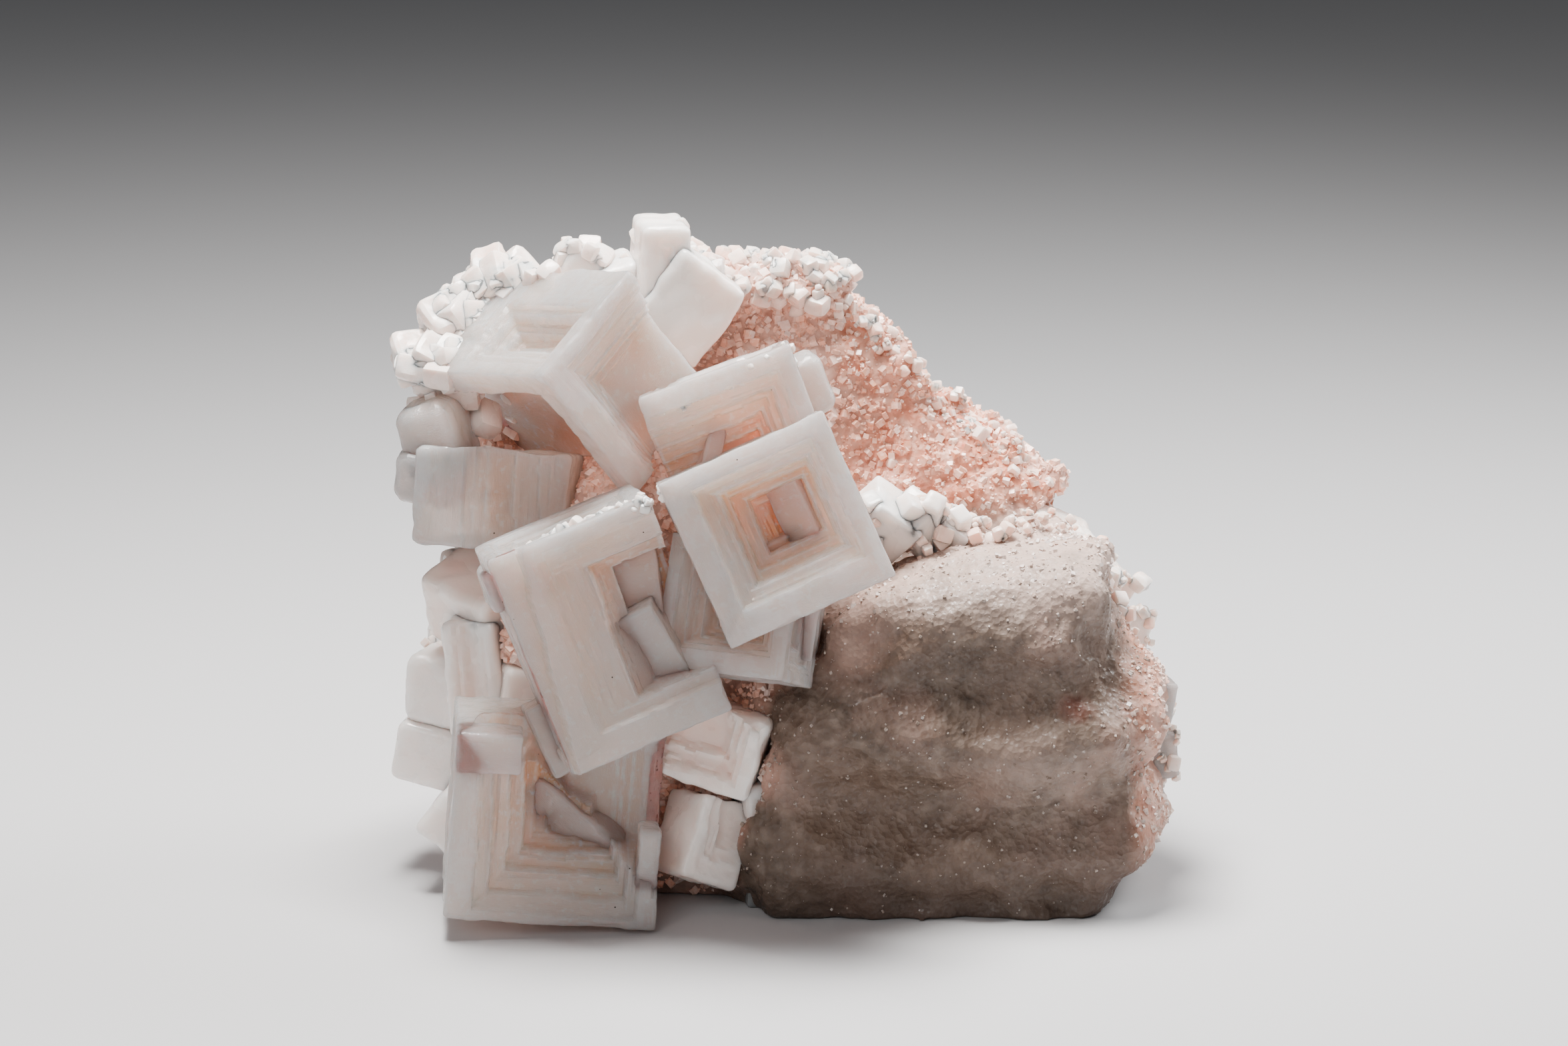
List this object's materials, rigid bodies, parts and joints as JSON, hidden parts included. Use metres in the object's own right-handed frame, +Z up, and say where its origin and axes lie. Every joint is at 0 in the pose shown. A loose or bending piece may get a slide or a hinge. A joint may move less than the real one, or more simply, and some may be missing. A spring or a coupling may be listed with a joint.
{
  "type": "pink hopper halite crystal cluster on a sandy salt lump",
  "caption": "Cluster of stepped hopper cubes of pale pink rock salt grown on a rounded lump of sandy salt crust with small druse, cut flat where it stands",
  "frame": {"origin": "On the table, below the middle of the specimen's box", "axes": "X to the specimen's right as seen from its display side, along its longest side; Y to its back; Z up. The hopper faces look along -Y."},
  "size_m": [0.0856, 0.058, 0.0702],
  "materials": {
    "halite": "cloudy, translucent, satin",
    "sandy_salt": "granular, matt with small sparkling salt grains"
  },
  "bodies": {
    "root": {"hopper_front": "halite", "hopper_beneath": "halite", "hopper_lower_front": "halite", "hopper_upper_middle": "halite", "hopper_upper_left": "halite", "hopper_lower_left": "halite", "hopper_left": "halite", "top_crystal": "halite", "lower_crystals": "halite", "left_crystals": "halite", "notch_crystals": "halite", "plate_crystals": "halite", "salt_matrix": "sandy_salt"}
  },
  "joints": []
}
